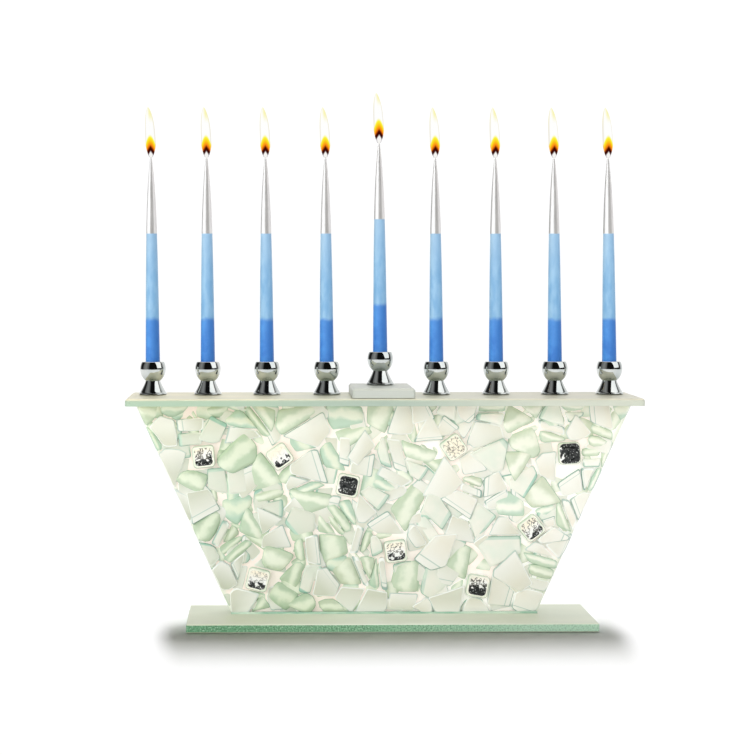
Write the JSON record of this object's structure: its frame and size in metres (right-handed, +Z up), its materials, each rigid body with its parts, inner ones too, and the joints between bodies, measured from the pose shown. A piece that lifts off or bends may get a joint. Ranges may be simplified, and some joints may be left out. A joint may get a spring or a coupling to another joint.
{
  "type": "menorah",
  "caption": "Glass menorah: mosaic panel between a base plate and a shelf, chrome cups on the shelf with lit tapers, the middle one raised on a block.",
  "frame": {"origin": "middle of the footprint box, on the surface that the base plate stands on", "axes": "+Z up, along the candles; the mosaic's front looks along -Y; +X to the viewer's right"},
  "size_m": [0.325, 0.066, 0.3405],
  "materials": {
    "base_glass": "frosted float glass with a polished green cut edge",
    "shelf_glass": "frosted, soft fire-polished edges",
    "backing_glass": "milky sheet glass",
    "mosaic_glass": "fused chips, part frosted and part clear pale green",
    "foil_glass": "crinkled silver foil behind clear glass",
    "chrome": "polished",
    "candle_wax": "dipped wax: dark blue foot, light blue body, silver tip",
    "wick_cotton": "burnt cotton",
    "flame": "glowing"
  },
  "bodies": {
    "stand": {"base_plate": "base_glass", "panel_backing_sheet": "backing_glass", "mosaic_layer": "mosaic_glass", "shelf": "shelf_glass", "shamash_block": "shelf_glass", "foil_tile_1": "foil_glass", "foil_tile_2": "foil_glass", "foil_tile_3": "foil_glass", "foil_tile_4": "foil_glass", "foil_tile_5": "foil_glass", "foil_tile_6": "foil_glass", "foil_tile_7": "foil_glass", "foil_tile_8": "foil_glass", "foil_tile_9": "foil_glass", "cup_1": "chrome", "cup_2": "chrome", "cup_3": "chrome", "cup_4": "chrome", "cup_5": "chrome", "cup_6": "chrome", "cup_7": "chrome", "cup_8": "chrome", "shamash_cup": "chrome"},
    "candle_1": {"candle_1": "candle_wax", "wick_1": "wick_cotton", "flame_1": "flame"},
    "candle_2": {"candle_2": "candle_wax", "wick_2": "wick_cotton", "flame_2": "flame"},
    "candle_3": {"candle_3": "candle_wax", "wick_3": "wick_cotton", "flame_3": "flame"},
    "candle_4": {"candle_4": "candle_wax", "wick_4": "wick_cotton", "flame_4": "flame"},
    "candle_5": {"candle_5": "candle_wax", "wick_5": "wick_cotton", "flame_5": "flame"},
    "candle_6": {"candle_6": "candle_wax", "wick_6": "wick_cotton", "flame_6": "flame"},
    "candle_7": {"candle_7": "candle_wax", "wick_7": "wick_cotton", "flame_7": "flame"},
    "candle_8": {"candle_8": "candle_wax", "wick_8": "wick_cotton", "flame_8": "flame"},
    "shamash": {"shamash_candle": "candle_wax", "shamash_wick": "wick_cotton", "shamash_flame": "flame"}
  },
  "joints": [
    {"name": "candle_1_lift", "type": "slide", "parent": "stand", "child": "candle_1", "axis": [0, 0, 1], "range_m": [0, 0.04]},
    {"name": "candle_2_lift", "type": "slide", "parent": "stand", "child": "candle_2", "axis": [0, 0, 1], "range_m": [0, 0.04]},
    {"name": "candle_3_lift", "type": "slide", "parent": "stand", "child": "candle_3", "axis": [0, 0, 1], "range_m": [0, 0.04]},
    {"name": "candle_4_lift", "type": "slide", "parent": "stand", "child": "candle_4", "axis": [0, 0, 1], "range_m": [0, 0.04]},
    {"name": "candle_5_lift", "type": "slide", "parent": "stand", "child": "candle_5", "axis": [0, 0, 1], "range_m": [0, 0.04]},
    {"name": "candle_6_lift", "type": "slide", "parent": "stand", "child": "candle_6", "axis": [0, 0, 1], "range_m": [0, 0.04]},
    {"name": "candle_7_lift", "type": "slide", "parent": "stand", "child": "candle_7", "axis": [0, 0, 1], "range_m": [0, 0.04]},
    {"name": "candle_8_lift", "type": "slide", "parent": "stand", "child": "candle_8", "axis": [0, 0, 1], "range_m": [0, 0.04]},
    {"name": "shamash_lift", "type": "slide", "parent": "stand", "child": "shamash", "axis": [0, 0, 1], "range_m": [0, 0.04]}
  ]
}
